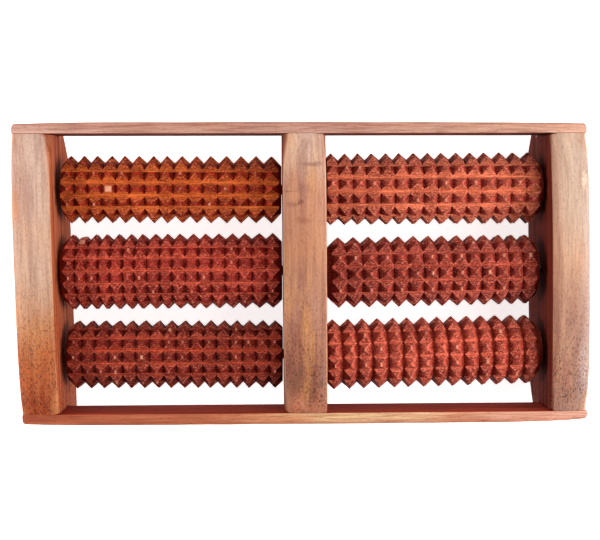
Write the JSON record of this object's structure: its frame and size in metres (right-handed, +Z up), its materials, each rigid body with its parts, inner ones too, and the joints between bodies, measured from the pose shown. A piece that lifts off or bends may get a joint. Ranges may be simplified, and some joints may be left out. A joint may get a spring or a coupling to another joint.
{
  "type": "foot massage roller",
  "caption": "Wooden foot massager: studded rollers in two columns turn freely on rods between three upright boards, closed by a rail at the front and back.",
  "frame": {"origin": "middle of the frame, on the surface it stands on", "axes": "+X to the right along the rollers, +Y to the back rail, +Z up"},
  "size_m": [0.2826, 0.149, 0.051],
  "materials": {
    "end_board_wood": "planed pinkish tan hardwood, lightly waxed, with fine lengthwise grain",
    "centre_board_wood": "planed tan hardwood with knots and golden flecks, lightly waxed",
    "rail_wood": "thin sawn strip, sanded round at the edges, lightly waxed",
    "roller_wood_left_back": "orange-brown stained hardwood, saw-cut facets, satin",
    "roller_wood_left_middle": "deep red-brown stained hardwood, saw-cut facets, satin",
    "roller_wood_left_front": "deep red-brown stained hardwood, saw-cut facets, satin",
    "roller_wood_right_back": "deep red-brown stained hardwood, saw-cut facets, satin",
    "roller_wood_right_middle": "deep red-brown stained hardwood, saw-cut facets, satin",
    "roller_wood_right_front": "deep red-brown stained hardwood, saw-cut facets, satin",
    "rod_steel": "plain drawn rod",
    "nail_steel": "bright wire nails, punched below the surface"
  },
  "bodies": {
    "frame": {"left_end_board": "end_board_wood", "centre_board": "centre_board_wood", "right_end_board": "end_board_wood", "back_rail": "rail_wood", "front_rail": "rail_wood", "axle_rod_left_back": "rod_steel", "axle_rod_left_middle": "rod_steel", "axle_rod_left_front": "rod_steel", "axle_rod_right_back": "rod_steel", "axle_rod_right_middle": "rod_steel", "axle_rod_right_front": "rod_steel", "nail_back_left_lower": "nail_steel", "nail_back_left_upper": "nail_steel", "nail_front_left_lower": "nail_steel", "nail_front_left_upper": "nail_steel", "nail_back_centre_lower": "nail_steel", "nail_back_centre_upper": "nail_steel", "nail_front_centre_lower": "nail_steel", "nail_front_centre_upper": "nail_steel", "nail_back_right_lower": "nail_steel", "nail_back_right_upper": "nail_steel", "nail_front_right_lower": "nail_steel", "nail_front_right_upper": "nail_steel"},
    "roller_left_back": {"roller_left_back": "roller_wood_left_back"},
    "roller_left_middle": {"roller_left_middle": "roller_wood_left_middle"},
    "roller_left_front": {"roller_left_front": "roller_wood_left_front"},
    "roller_right_back": {"roller_right_back": "roller_wood_right_back"},
    "roller_right_middle": {"roller_right_middle": "roller_wood_right_middle"},
    "roller_right_front": {"roller_right_front": "roller_wood_right_front"}
  },
  "joints": [
    {"name": "roller_left_back_spin", "type": "hinge", "parent": "frame", "child": "roller_left_back", "pos_m": [-0.06505, 0.0417, 0.026], "axis": [1, -0.0035, 0], "continuous": true},
    {"name": "roller_left_middle_spin", "type": "hinge", "parent": "frame", "child": "roller_left_middle", "pos_m": [-0.0653, 0.0005, 0.026], "axis": [1, 0.0035, 0], "continuous": true},
    {"name": "roller_left_front_spin", "type": "hinge", "parent": "frame", "child": "roller_left_front", "pos_m": [-0.06425, -0.04175, 0.026], "axis": [1, -0.0044, 0], "continuous": true},
    {"name": "roller_right_back_spin", "type": "hinge", "parent": "frame", "child": "roller_right_back", "pos_m": [0.0657, 0.04175, 0.026], "axis": [1, 0.0035, 0], "continuous": true},
    {"name": "roller_right_middle_spin", "type": "hinge", "parent": "frame", "child": "roller_right_middle", "pos_m": [0.0652, 0.0002, 0.026], "axis": [0.9999, 0.014, 0], "continuous": true},
    {"name": "roller_right_front_spin", "type": "hinge", "parent": "frame", "child": "roller_right_front", "pos_m": [0.06645, -0.04135, 0.026], "axis": [0.9998, 0.0209, 0], "continuous": true}
  ]
}
